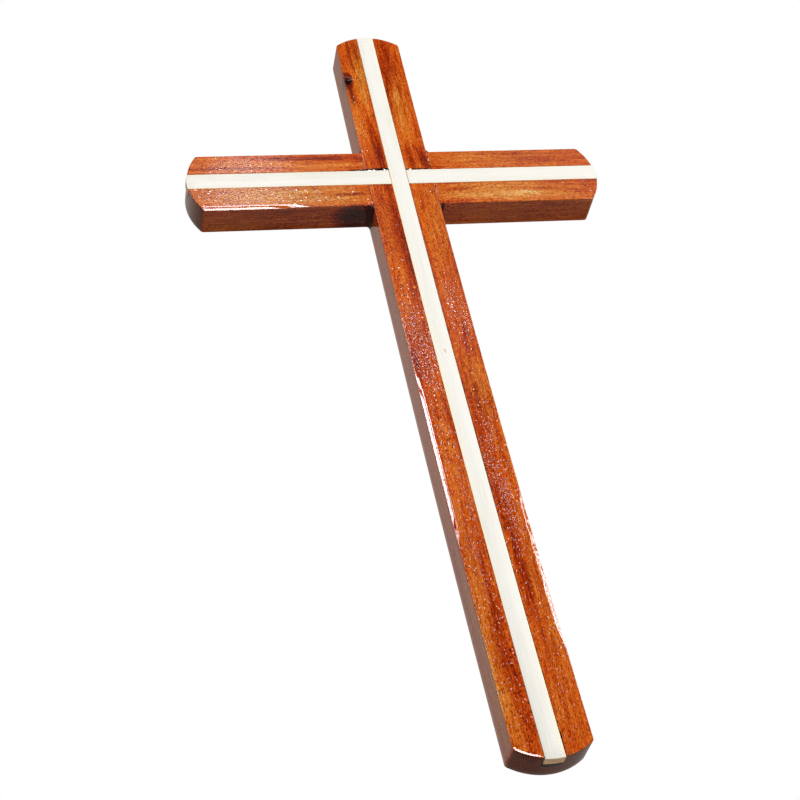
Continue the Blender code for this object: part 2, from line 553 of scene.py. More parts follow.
def seamCone(bm, thinEnd, wideEnd, smaller=0.0):
    # a lumpy cone lying along the top of an arm inlay
    (thinX, thinRadius), (wideX, wideRadius) = thinEnd, wideEnd
    made = bmesh.ops.create_cone(
        bm, cap_ends=True, segments=squeezed["sides"],
        radius1=thinRadius - smaller, radius2=wideRadius - smaller, depth=abs(wideX - thinX),
    )["verts"]
    turn = math.copysign(math.pi / 2, wideX - thinX)
    bmesh.ops.rotate(bm, verts=made, cent=(0, 0, 0), matrix=Matrix.Rotation(turn, 3, "Y"))
    height = leftHigh[2] + squeezed["above"]
    bmesh.ops.translate(bm, verts=made, vec=((thinX + wideX) / 2, frontY, height))
    for x in evenly(min(thinX, wideX), max(thinX, wideX), squeezed["along"]):
        sliceAt(bm, (x, 0, 0), (1, 0, 0))
    if smaller:
        # laid down so that its flattened top runs just under the front
        for v in bm.verts:
            if min(thinX, wideX) - tolerance < v.co.x < max(thinX, wideX) + tolerance:
                share = (v.co.x - thinX) / (wideX - thinX)
                radius = thinRadius + (wideRadius - thinRadius) * share - smaller
                v.co.y = frontY + squeezed["sunk"] + squeezed["flat"] * (v.co.y - frontY + radius)


def shoulderBead(bm, side, low, high):
    # a thin bead of glue lying in the joint between an arm and the upright
    made = bmesh.ops.create_cone(
        bm, cap_ends=True, segments=squeezed["sides"],
        radius1=squeezed["bead"], radius2=squeezed["bead"], depth=high - low,
    )["verts"]
    place = (side * uprightBar["width"] / 2, frontY + squeezed["bead"], (low + high) / 2)
    bmesh.ops.translate(bm, verts=made, vec=place)
    for z in evenly(low, high, squeezed["along"]):
        sliceAt(bm, (0, 0, z), (0, 0, 1))


def seamCutter(seam):
    # opens the seam over an arm inlay, for the glue to stand in
    bm = bmesh.new()
    seamCone(bm, *seam)
    for v in bm.verts:
        v.co.z += squeezed["lumps"] * noise.noise(v.co / squeezed["wave"])
    return toObject("cutter", bm)


def makeUpright():
    bar = uprightBar
    bm = blank(bar)
    easeBar(bm, bar)
    sliceUp(bm, bar)
    sliceFinely(bm, knotDent["at"], knotDent["reach"], knotDent["loops"])
    upright = toObject("uprightBar", bm)
    past = bar["width"]
    lap = crossbarBar["width"] / 2 + jointGap
    grooveY = frontY + joint["grooveDepth"]
    carve(upright, [
        cutterBox(
            (bar["grooveLow"], frontY - past, bar["foot"] - past),
            (bar["grooveHigh"], grooveY, bar["head"] + past),
        ),
        cutterBox(
            (-past, frontY - past, crossbarBar["grooveLow"]),
            (past, grooveY, crossbarBar["grooveHigh"]),
        ),
        cutterBox((-past, joint["lapFace"], -lap), (past, past, lap)),
        cutterRound(joint["nailHole"], (0, joint["nailHoleFloor"], joint["nailHoleHeight"])),
    ] + [seamCutter(seam) for seam in squeezed["seams"]])
    workByHand(upright)
    finishMesh(upright)
    return upright


def turnLeft(bm):
    # a standing bar laid over so that its head is the left arm's end
    bmesh.ops.rotate(bm, verts=bm.verts, cent=(0, 0, 0), matrix=Matrix.Rotation(-math.pi / 2, 3, "Y"))


def makeCrossbar():
    bar = crossbarBar
    bm = blank(bar)
    easeBar(bm, bar)
    sliceUp(bm, bar)
    turnLeft(bm)
    crossbar = toObject("crossbarBar", bm)
    past = bar["width"]
    lap = uprightBar["width"] / 2 + joint["shoulderGap"]
    carve(crossbar, [
        cutterBox(
            (-bar["head"] - past, frontY - past, bar["grooveLow"]),
            (-bar["foot"] + past, frontY + joint["grooveDepth"], bar["grooveHigh"]),
        ),
        cutterBox((-lap, frontY - past, -past), (lap, joint["lapFace"] + jointGap, past)),
        seamCutter(squeezed["seams"][0]),
    ])
    workByHand(crossbar)
    finishMesh(crossbar)
    return crossbar


inlay = {
    "thickness": 3.5 * mm,
    "proud": 0.3 * mm,      # out of the bar's end
    "wider": 0.12 * mm,     # on each side than in the frame, to close the glue's gap
    "edgeRound": 0.1 * mm, "edgeSteps": 2,
    "along": 4 * mm, "sharpFrom": 30,
}


def sawOff(bm, place, normal):
    # cuts away what lies past the plane and closes the cut
    cut = bmesh.ops.bisect_plane(
        bm, geom=bm.verts[:] + bm.edges[:] + bm.faces[:], dist=tolerance,
        plane_co=place, plane_no=normal, clear_outer=True,
    )
    edges = [g for g in cut["geom_cut"] if isinstance(g, bmesh.types.BMEdge)]
    bmesh.ops.contextual_create(bm, geom=edges)


def makeInlay(name, bar, low, high, butt=None):
    # a thin full-width blank, sawn down to the strip
    bm = blank(bar, inlay["proud"], frontY + inlay["thickness"])
    sawOff(bm, (low - inlay["wider"], 0, 0), (-1, 0, 0))
    sawOff(bm, (high + inlay["wider"], 0, 0), (1, 0, 0))
    if butt:
        sawOff(bm, (0, 0, butt[0]), (0, 0, butt[1]))
    bmesh.ops.recalc_face_normals(bm, faces=bm.faces[:])
    rim = [e for e in bm.edges if all(nearly(v.co.y, frontY) for v in e.verts)]
    roundOff(bm, rim, inlay["edgeRound"], inlay["edgeSteps"])
    for z in evenly(bar["foot"], bar["head"], inlay["along"]):
        sliceAt(bm, (0, 0, z), (0, 0, 1))
    if bar is crossbarBar:
        turnLeft(bm)
    strip = toObject(name, bm)
    workByHand(strip)
    finishMesh(strip, inlay["sharpFrom"])
    return strip


def makeCornerLacquerAndShade():
    # a block in each inside corner, hollowed to a fillet by a round cutter
    corners = []
    bm = bmesh.new()
    size, into = pooled["reach"], pooled["into"]
    low = frontY + pooled["fromFront"]
    high = -pooled["fromBack"]
    for sideways in (-1, 1):
        for upwards in (-1, 1):
            cornerX = sideways * (uprightBar["width"] / 2 - into)
            cornerZ = upwards * (crossbarBar["width"] / 2 - into)
            made = bmesh.ops.create_cube(bm, size=1)["verts"]
            bmesh.ops.scale(bm, verts=made, vec=(size, high - low, size))
            middle = (cornerX + sideways * size / 2, (low + high) / 2, cornerZ + upwards * size / 2)
            bmesh.ops.translate(bm, verts=made, vec=middle)
            away = (cornerX + sideways * size, frontY - size, cornerZ + upwards * size)
            corners.append(cutterRound(2 * (size - into), away))
    lacquer = toObject("cornerLacquerAndShade", bm)
    carve(lacquer, corners)
    workByHand(lacquer)
    finishMesh(lacquer)
    return lacquer


def makeSqueezedGlue():
    bm = bmesh.new()
    for shoulder in squeezed["shoulders"]:
        shoulderBead(bm, *shoulder)
    for seam in squeezed["seams"]:
        seamCone(bm, *seam, squeezed["thinner"])
    glue = toObject("squeezedGlue", bm)
    noise.seed_set(squeezed["seed"])  # or else noise_vector starts from the clock
    for v in glue.data.vertices:
        v.co += squeezed["lumps"] * noise.noise_vector(v.co / squeezed["wave"])
        v.co.y = max(v.co.y, frontY + squeezed["least"])
    workByHand(glue)
    finishMesh(glue, squeezed["sharpFrom"])
    return glue


hardwood = {
    "ramp": (
        (0.0, "3c0e05"), (0.2, "701b03"), (0.4, "9c3105"), (0.55, "b64b0e"),
        (0.7, "c3611a"), (0.85, "ce7b31"), (1.0, "dc9c5c"),
    ),
    "pore": "4e0d03", "poreShare": 0.8,
    "tone": 0.56,                     # the middle of the ramp that the streaks swing about
    "endGrain": "3a1712", "endShare": 0.75, "endFade": (0.5, 0.85),
    "amber": (0.93, 1.36, 1.8, 1.0),  # multiplies the colour where a patch is more golden, and paler where it is a painted sheen
    "sway": (14, 60, 1.6),            # mm across, mm along, and mm that the streaks wander
    "band": (5.0, 120, 0.45),         # mm across, mm along, and share in the tone
    "streak": (1.3, 30, 0.52),
    "fibre": (0.45, 6, 0.78),
    "speck": (0.35, 0.8, 0.45),
    "noiseRoughness": 0.6,
    "poreCell": (0.5, 1.9),           # mm across and along: coarser than real pores, so that they show
    "poreSize": (0.16, 0.34),
    "poreCloud": (5, 22), "cloudRange": (0.36, 0.6, 0.5, 1.3),
    "openness": 0.42,                 # share of the cells that hold a pore
    "flakeCell": (0.5, 1.15), "flakeSize": (0.22, 0.32),
    "shine": 0.06,                    # share of the cells that hold a flake of lacquer
    "flakeTilt": (0.25, 0.25, 0.25), "flakeDullness": 0.26,
    "ripple": (0.75, 1.5), "rippleHeight": 0.22,
    "hollow": 0.03, "hollowInShine": 0.16,  # how far the lacquer sinks over a pore
    "bump": 0.05 * mm,
    "coatRoughness": 0.06,
}
# Parts of the figure that are lighter or darker, or have more open pores. On the crossbar, two
# darker patches are painted shade and one golden patch is partly a painted sheen.
# at and reach in mm, across and along each bar
uprightFigure = (
    {"at": (-10.0, 68.0), "reach": (3.5, 14.0), "lighter": -0.02},
    {"at": (-6.0, 70.0), "reach": (1.6, 12.0), "lighter": -0.10},
    {"at": (-8.0, 64.0), "reach": (0.9, 12.0), "lighter": -0.22},
    {"at": (-6.0, 46.0), "reach": (3.0, 20.0), "lighter": 0.08},
    {"at": (-10.5, 28.0), "reach": (2.6, 16.0), "lighter": 0.14},
    {"at": (-6.2, 12.0), "reach": (1.9, 24.0), "lighter": -0.26, "pores": 0.5},
    {"at": (-10.5, 12.0), "reach": (2.8, 18.0), "lighter": -0.04},
    {"at": (5.5, 68.0), "reach": (3.6, 20.0), "lighter": -0.12},
    {"at": (8.0, 64.0), "reach": (7.0, 24.0), "lighter": -0.10},
    {"at": (4.5, 45.0), "reach": (2.0, 24.0), "lighter": -0.16},
    {"at": (6.4, 43.0), "reach": (2.6, 7.0), "lighter": 0.18},
    {"at": (8.6, 45.0), "reach": (1.2, 7.0), "lighter": -0.16},
    {"at": (8.0, 27.0), "reach": (5.0, 14.0), "lighter": 0.10},
    {"at": (5.5, 10.0), "reach": (2.6, 9.0), "lighter": -0.20},
    {"at": (11.0, 8.0), "reach": (2.6, 7.0), "lighter": -0.22},
    {"at": (8.5, 14.0), "reach": (1.2, 9.0), "lighter": -0.14},
    {"at": (-5.8, -52.0), "reach": (0.8, 1.0), "lighter": 0.5},
    {"at": (-5.6, -32.0), "reach": (2.6, 42.0), "lighter": -0.22, "pores": 1.0},
    {"at": (-10.0, -34.0), "reach": (3.6, 40.0), "lighter": -0.06, "pores": 0.9},
    {"at": (7.5, -24.0), "reach": (6.0, 30.0), "lighter": 0.02, "pores": 0.8},
    {"at": (-11.0, -85.0), "reach": (2.2, 11.0), "lighter": -0.26, "pores": 0.9},
    {"at": (-7.0, -80.0), "reach": (6.0, 24.0), "lighter": -0.06, "pores": 0.7},
    {"at": (6.0, -66.0), "reach": (4.0, 20.0), "lighter": -0.05, "pores": 0.8},
    {"at": (7.2, -76.0), "reach": (1.3, 12.0), "lighter": -0.18},
    {"at": (-8.0, -76.0), "reach": (8.0, 34.0), "pores": 0.9, "shine": 1.0},
    {"at": (-6.0, 60.0), "reach": (3.2, 24.0), "amber": 1.0},
    {"at": (7.0, 42.0), "reach": (5.0, 26.0), "amber": 0.7},
    {"at": (8.5, -20.0), "reach": (5.0, 40.0), "amber": 0.4},
    {"at": (8.0, -98.0), "reach": (5.0, 22.0), "amber": 0.6},
    {"at": (-9.5, -190.0), "reach": (4.0, 55.0), "amber": 0.5},
    {"at": (9.0, -180.0), "reach": (4.5, 55.0), "amber": 0.3},
    {"at": (7.0, -63.0), "reach": (7.0, 26.0), "pores": 0.9, "shine": 1.0},
    {"at": (-8.0, -150.0), "reach": (10.0, 110.0), "pores": 0.6, "shine": 0.4},
    {"at": (7.0, -132.0), "reach": (8.0, 50.0), "pores": 0.7, "shine": 0.6},
    {"at": (7.0, -190.0), "reach": (8.0, 50.0), "shine": 0.25},
    {"at": (12.4, -168.0), "reach": (2.2, 44.0), "shine": 1.0, "pores": 0.8},
    {"at": (-6.0, -10.0), "reach": (8.0, 50.0), "lighter": -0.03, "pores": 1.0},
    {"at": (9.5, -92.0), "reach": (4.0, 14.0), "lighter": 0.14, "pores": 0.2},
    {"at": (-9.0, -120.0), "reach": (3.5, 34.0), "lighter": 0.08, "pores": 0.35},
    {"at": (-4.8, -112.0), "reach": (1.6, 24.0), "lighter": -0.20},
    {"at": (-5.5, -185.0), "reach": (2.8, 60.0), "lighter": -0.13},
    {"at": (-10.5, -185.0), "reach": (2.6, 60.0), "lighter": 0.10, "pores": 0.25},
    {"at": (4.6, -150.0), "reach": (2.6, 60.0), "lighter": -0.18, "pores": 0.3},
    {"at": (8.0, -185.0), "reach": (5.5, 60.0), "lighter": -0.06},
)
crossbarFigureAndPaintedLight = (
    {"at": (11.6, 36.0), "reach": (2.0, 30.0), "lighter": -0.26},
    {"at": (8.0, 34.0), "reach": (1.6, 34.0), "lighter": 0.16},
    {"at": (6.4, 60.0), "reach": (1.0, 30.0), "lighter": -0.22, "pores": 0.5},
    {"at": (9.0, 55.0), "reach": (4.0, 22.0), "lighter": 0.06, "pores": 0.6},
    {"at": (-7.5, 60.0), "reach": (7.0, 26.0), "lighter": 0.04},
    {"at": (-7.5, 34.0), "reach": (7.0, 30.0), "lighter": 0.08},
    {"at": (-7.2, 20.0), "reach": (1.2, 9.0), "lighter": -0.26, "pores": 0.6},
    {"at": (-7.5, -34.0), "reach": (7.0, 32.0), "lighter": 0.17},
    {"at": (-6.2, -20.0), "reach": (1.0, 9.0), "lighter": -0.28, "pores": 0.5},
    {"at": (-7.0, -48.0), "reach": (0.9, 16.0), "lighter": -0.16},
    {"at": (-11.0, -66.0), "reach": (3.0, 14.0), "lighter": 0.06},
    {"at": (7.0, -58.0), "reach": (2.6, 18.0), "lighter": -0.12},
    {"at": (9.0, -30.0), "reach": (3.0, 20.0), "lighter": 0.08},
    {"at": (8.0, 58.0), "reach": (8.0, 30.0), "pores": 0.7, "shine": 0.7},
    {"at": (-7.0, 50.0), "reach": (9.0, 44.0), "pores": 0.8, "shine": 1.0},
    # painted shade on the left arm's underside: nearly black where the upright shades it by the crossing, and
    # darker along the rest of the arm
    {"at": (-14.8, 18.0), "reach": (2.8, 12.0), "lighter": -0.65},
    {"at": (-15.0, 46.0), "reach": (3.6, 44.0), "lighter": -0.2},
    # partly a painted sheen: this golden patch also pales the left arm's lower band like a soft reflection in
    # the lacquer
    {"at": (-7.0, 45.0), "reach": (8.5, 50.0), "amber": 1.0},
    {"at": (8.0, 45.0), "reach": (6.0, 48.0), "amber": 0.25},
    {"at": (-7.0, -42.0), "reach": (8.0, 44.0), "amber": 0.75},
    {"at": (9.0, -42.0), "reach": (6.0, 40.0), "amber": 0.6},
)
knot = {
    "at": (-10.7, 51.4), "core": (1.9, 2.9), "ring": (2.8, 7.0),
    "tail": (1.5, 9.5), "tailAt": (-10.4, 44.4),
    "deep": 11 * mm,           # how far behind the front it dies out
    "ragged": (1.4, 0.6),      # mm between the tears, and how far they reach
    "colour": "150204", "rim": "560b08",
    "coreShare": 0.95, "rimShare": 0.9, "tailShare": 0.8,
    "coreEdge": (0.1, 0.7), "rimEdge": (0.1, 0.6),
}
# Near black in and under the slit behind the long inlay's foot end: painted shade in the slit, and a band 1.5
# mm past its floor on the end face
footSlitShade = {
    "middle": (longLow[0] + longHigh[0]) / 2 + bentAt(uprightBar["foot"]),
    "half": (uprightBar["grooveHigh"] - uprightBar["grooveLow"]) / 2 + 0.05 * mm,
    "back": frontY + joint["grooveDepth"] + 1.5 * mm,
    "top": uprightBar["foot"] + 8 * mm,
    "colour": "0c0201",
}
# Sanded edges where the lacquer lies smooth: at and reach in mm, across and along each bar
uprightCalm = (((-12.9, -117.0), (2.2, 52.0)), ((-7.0, -227.5), (9.0, 5.0)))
crossbarCalm = (((-12.6, 58.0), (3.0, 34.0)),)

noiseMiddle = (0.5, 0.5, 0.5)  # what a noise's colour swings about
noiseSwing = 4                 # a noise's colour strays by about a quarter, so four times makes it whole
scramble = 7.31                # makes a fresh chance of a cell's place


def stretchedNoise(tree, vector, size, away=(0, 0, 0), detail=2.0, roughness=0.5):
    # noise whose unit is size[0] mm across the grain and size[1] mm along it
    across, along = size
    scale = (1 / (across * mm), 1 / (across * mm), 1 / (along * mm))
    spread = addNode(tree, "Mapping", {"Vector": vector, "Scale": scale, "Location": away})
    return addNode(
        tree, "TexNoise", {"Vector": spread, "Scale": 1.0, "Detail": detail, "Roughness": roughness},
    )


def blob(tree, vector, at, reach, high=1.0, deep=0.0):
    # high in the middle of an upright oval and 0 past its rim. With a depth, it also dies
    # out that far behind the front
    spot = addNode(tree, "Mapping", {
        "Vector": vector,
        "Scale": (1 / (reach[0] * mm), 1 / deep if deep else 0, 1 / (reach[1] * mm)),
        "Location": (-at[0] / reach[0], -frontY / deep if deep else 0, -at[1] / reach[1]),
    })
    far = addNode(tree, "VectorMath", (spot,), operation="LENGTH")
    return addNode(tree, "MapRange", (far, 0.25, 1.0, high, 0.0), interpolation_type="SMOOTHSTEP")


def flattened(tree, vector, cell):
    # cells of this many mm, laid out by the way across plus the depth, and the way along,
    # so that they look the same on every side but the end grain
    parts = addNode(tree, "SeparateXYZ", (vector,))
    sideways = addNode(tree, "Math", (parts.outputs["X"], parts.outputs["Y"]), operation="ADD")
    across = addNode(tree, "Math", (sideways, 1 / (cell[0] * mm)), operation="MULTIPLY")
    along = addNode(tree, "Math", (parts.outputs["Z"], 1 / (cell[1] * mm)), operation="MULTIPLY")
    return addNode(tree, "CombineXYZ", (across, along))


def flaked(tree, vector, size, share, tilt, centre=noiseMiddle):
    # a normal that leans at random inside each flake, and how dull each flake is
    cells = addNode(tree, "TexVoronoi", {"Vector": vector, "Scale": 1.0}, voronoi_dimensions="2D")
    place = addNode(tree, "SeparateXYZ", (cells.outputs["Position"],))
    chance = addNode(tree, "Math", (place.outputs["X"], scramble), operation="MULTIPLY")
    chance = addNode(tree, "Math", (chance,), operation="FRACT")
    chosen = addNode(tree, "Math", (chance, share), operation="LESS_THAN")
    inside = addNode(
        tree, "MapRange", (cells.outputs["Distance"], *size, 1.0, 0.0), interpolation_type="SMOOTHSTEP",
    )
    flake = addNode(tree, "Math", (inside, chosen), operation="MULTIPLY")
    lean = addNode(tree, "VectorMath", (cells.outputs["Color"], centre), operation="SUBTRACT")
    lean = addNode(tree, "VectorMath", (lean, tilt), operation="MULTIPLY")
    lean = addNode(tree, "VectorMath", {0: lean, "Scale": flake}, operation="SCALE")
    normal = addNode(tree, "NewGeometry").outputs["Normal"]
    normal = addNode(tree, "VectorMath", (normal, lean), operation="ADD")
    normal = addNode(tree, "VectorMath", (normal,), operation="NORMALIZE")
    chances = addNode(tree, "SeparateColor", (cells.outputs["Color"],))
    return normal, addNode(tree, "Math", (flake, chances.outputs["Blue"]), operation="MULTIPLY")


def onEndGrain(tree, coords, turn, fade, share):
    # the share where a face looks along the grain, and 0 on the other sides
    facing = addNode(
        tree, "Mapping", {"Vector": coords.outputs["Normal"], "Rotation": turn}, vector_type="NORMAL",
    )
    endOn = addNode(tree, "SeparateXYZ", (facing,)).outputs["Z"]
    endOn = addNode(tree, "Math", (endOn,), operation="ABSOLUTE")
    return addNode(tree, "MapRange", (endOn, *fade, 0.0, share), interpolation_type="SMOOTHSTEP")


def addKnot(tree, place, colour):
    # a dark core in a red ring with a tail, their rims torn
    tear, far = knot["ragged"]
    jitter = stretchedNoise(tree, place, (tear, tear)).outputs["Color"]
    jitter = addNode(tree, "VectorMath", (jitter, noiseMiddle), operation="SUBTRACT")
    jitter = addNode(tree, "VectorMath", {0: jitter, "Scale": noiseSwing * far * mm}, operation="SCALE")
    torn = addNode(tree, "VectorMath", (place, jitter), operation="ADD")
    ring = blob(tree, torn, knot["at"], knot["ring"], 1.0, knot["deep"])
    ring = addNode(tree, "MapRange", (ring, *knot["rimEdge"], 0.0, 1.0), interpolation_type="SMOOTHSTEP")
    ring = addNode(tree, "Math", (ring, knot["rimShare"]), operation="MULTIPLY")
    tail = blob(tree, torn, knot["tailAt"], knot["tail"], knot["tailShare"], knot["deep"])
    core = blob(tree, torn, knot["at"], knot["core"], 1.0, knot["deep"])
    core = addNode(
        tree, "MapRange", (core, *knot["coreEdge"], 0.0, knot["coreShare"]), interpolation_type="SMOOTHSTEP",
    )
    red = addNode(tree, "Math", (ring, tail), operation="MAXIMUM")
    colour = addNode(tree, "Mix", {0: red, 6: colour, 7: linear(knot["rim"])}, data_type="RGBA")
    return addNode(tree, "Mix", {0: core, 6: colour, 7: linear(knot["colour"])}, data_type="RGBA")


def addFootSlitShade(tree, place, colour):
    # painted shade: near black in the slit behind the long inlay's foot, and a band just past its floor
    parts = addNode(tree, "SeparateXYZ", (place,))
    off = addNode(tree, "Math", (parts.outputs["X"], footSlitShade["middle"]), operation="SUBTRACT")
    off = addNode(tree, "Math", (off,), operation="ABSOLUTE")
    slitShade = 1.0
    for value, limit in (
        (off, footSlitShade["half"]), (parts.outputs["Y"], footSlitShade["back"]), (parts.outputs["Z"], footSlitShade["top"]),
    ):
        within = addNode(tree, "Math", (value, limit), operation="LESS_THAN")
        slitShade = addNode(tree, "Math", (slitShade, within), operation="MULTIPLY")
    return addNode(tree, "Mix", {0: slitShade, 6: colour, 7: linear(footSlitShade["colour"])}, data_type="RGBA")


def lacqueredHardwood(name, turn, figureAndPaintedLight, calm, isUpright):
    # open-pored red hardwood under clear lacquer: streaked colour, dark pores, wet gloss
    material = bpy.data.materials.new(name)
    material.use_nodes = True
    tree = material.node_tree
    shader = tree.nodes["Principled BSDF"]
    coords = addNode(tree, "TexCoord")
    place = coords.outputs["Object"]
    grain = addNode(tree, "Mapping", {"Vector": place, "Rotation": turn})
    across, along, far = hardwood["sway"]
    sway = stretchedNoise(tree, grain, (across, along), detail=3.0).outputs["Color"]
    sway = addNode(tree, "VectorMath", (sway, noiseMiddle), operation="SUBTRACT")
    reach = noiseSwing * far * mm
    sway = addNode(tree, "VectorMath", (sway, (reach, reach, 0)), operation="MULTIPLY")
    flow = addNode(tree, "VectorMath", (grain, sway), operation="ADD")

    tone = hardwood["tone"]
    for part, detail, away in (
        ("band", 2.0, (4.1, 0, 0)), ("streak", 3.0, (0, 2.7, 0)),
        ("fibre", 3.0, (0, 0, 5.2)), ("speck", 0.0, (1.3, 0, 0)),
    ):
        across, along, share = hardwood[part]
        swing = stretchedNoise(tree, flow, (across, along), away, detail, hardwood["noiseRoughness"])
        swing = addNode(tree, "Math", (swing, 0.5), operation="SUBTRACT")
        swing = addNode(tree, "Math", (swing, share), operation="MULTIPLY")
        tone = addNode(tree, "Math", (swing, tone), operation="ADD")

    # each level is even to begin with, and the patches change it: the figure, and on the crossbar also painted
    # shade and a painted sheen
    levels = {
        "lighter": tone, "pores": hardwood["openness"], "amber": 0.0, "shine": hardwood["shine"],
    }
    for patch in figureAndPaintedLight:
        mask = blob(tree, flow, patch["at"], patch["reach"])
        for key in levels:
            if key in patch:
                change = addNode(tree, "Math", (mask, patch[key]), operation="MULTIPLY")
                blend = "ADD" if key == "lighter" else "MAXIMUM"
                levels[key] = addNode(tree, "Math", (levels[key], change), operation=blend)
    rough = 1.0
    for at, reach in calm:
        uncalmed = addNode(tree, "Math", (1.0, blob(tree, grain, at, reach)), operation="SUBTRACT")
        rough = addNode(tree, "Math", (rough, uncalmed), operation="MULTIPLY")
    shine = addNode(tree, "Math", (levels["shine"], rough), operation="MULTIPLY")
    cloud = stretchedNoise(tree, flow, hardwood["poreCloud"], (0, 0, 8.4), 1.0)
    cloud = addNode(tree, "MapRange", (cloud, *hardwood["cloudRange"]), interpolation_type="SMOOTHSTEP")
    openness = addNode(tree, "Math", (levels["pores"], cloud), operation="MULTIPLY")

    colour = addNode(tree, "ValToRGB", (levels["lighter"],))
    stops = colour.color_ramp.elements
    for i, (at, hexColour) in enumerate(hardwood["ramp"]):
        stop = stops[i] if i < 2 else stops.new(at)
        stop.position = at
        stop.color = linear(hexColour)
    colour = addNode(
        tree, "Mix", {0: levels["amber"], 6: colour, 7: hardwood["amber"]},
        data_type="RGBA", blend_type="MULTIPLY",
    )

    # pores: one dash in each long cell, left out where the grain is closed
    cells = flattened(tree, flow, hardwood["poreCell"])
    cells = addNode(tree, "TexVoronoi", {"Vector": cells, "Scale": 1.0}, voronoi_dimensions="2D")
    chance = addNode(tree, "SeparateColor", (cells.outputs["Color"],)).outputs["Red"]
    chosen = addNode(tree, "Math", (chance, openness), operation="LESS_THAN")
    pore = addNode(
        tree, "MapRange", (cells.outputs["Distance"], *hardwood["poreSize"], 1.0, 0.0),
        interpolation_type="SMOOTHSTEP",
    )
    pore = addNode(tree, "Math", (pore, chosen), operation="MULTIPLY")
    share = addNode(tree, "Math", (pore, hardwood["poreShare"]), operation="MULTIPLY")
    colour = addNode(tree, "Mix", {0: share, 6: colour, 7: linear(hardwood["pore"])}, data_type="RGBA")
    if isUpright:
        colour = addKnot(tree, place, colour)

    # the lacquer lies in little flakes between the pores, each a mirror tilted its own way
    flakes = flattened(tree, flow, hardwood["flakeCell"])
    facing, dull = flaked(tree, flakes, hardwood["flakeSize"], shine, hardwood["flakeTilt"])
    ripple = stretchedNoise(tree, flow, hardwood["ripple"], (0, 5.5, 1.3), 1.0)
    ripple = addNode(tree, "Math", (ripple, hardwood["rippleHeight"]), operation="MULTIPLY")
    hollow = addNode(tree, "Math", (shine, hardwood["hollowInShine"]), operation="MULTIPLY")
    hollow = addNode(tree, "Math", (hollow, hardwood["hollow"]), operation="ADD")
    hollow = addNode(tree, "Math", (pore, hollow), operation="MULTIPLY")
    height = addNode(tree, "Math", (ripple, hollow), operation="SUBTRACT")
    gloss = addNode(
        tree, "Bump",
        {"Strength": rough, "Distance": hardwood["bump"], "Height": height, "Normal": facing},
    )
    coatRoughness = addNode(tree, "Math", (dull, hardwood["flakeDullness"]), operation="MULTIPLY")
    coatRoughness = addNode(tree, "Math", (coatRoughness, hardwood["coatRoughness"]), operation="ADD")

    # end grain drinks the lacquer and goes dark
    endOn = onEndGrain(tree, coords, turn, hardwood["endFade"], hardwood["endShare"])
    colour = addNode(tree, "Mix", {0: endOn, 6: colour, 7: linear(hardwood["endGrain"])}, data_type="RGBA")
    # painted shade in the slit at the long inlay's foot
    if isUpright:
        colour = addFootSlitShade(tree, place, colour)

    feed(tree, colour, shader.inputs["Base Color"])
    feed(tree, gloss, shader.inputs["Coat Normal"])
    feed(tree, coatRoughness, shader.inputs["Coat Roughness"])
    shader.inputs["Roughness"].default_value = 0.5
    shader.inputs["Specular IOR Level"].default_value = 0.0
    shader.inputs["Coat Weight"].default_value = 1.0
    shader.inputs["Coat IOR"].default_value = 1.5
    return material


paleWood = {
    "face": "dad8ce", "shade": "d1cdbe", "edge": "f2dfb0", "endGrain": "eac094", "fleck": "a8824a",
    "fibre": (0.5, 12), "fibreShare": 0.6,    # mm across, mm along, and share in the shade
    "cloud": (4, 40), "cloudShare": 0.5,
    "shadeRange": (0.5, 0.75, 0.0, 0.7),
    "leftEdge": (0.6 * mm, 0.45),             # how far the lacquer wicked in, and how much
    "rightEdge": (0.5 * mm, 0.35),
    "endFade": (0.5, 0.8),
    "bump": 0.06 * mm, "bumpStrength": 0.15,
}
fleck = {"at": (-0.6, -80.5), "reach": (0.5, 1.4), "share": 0.6}


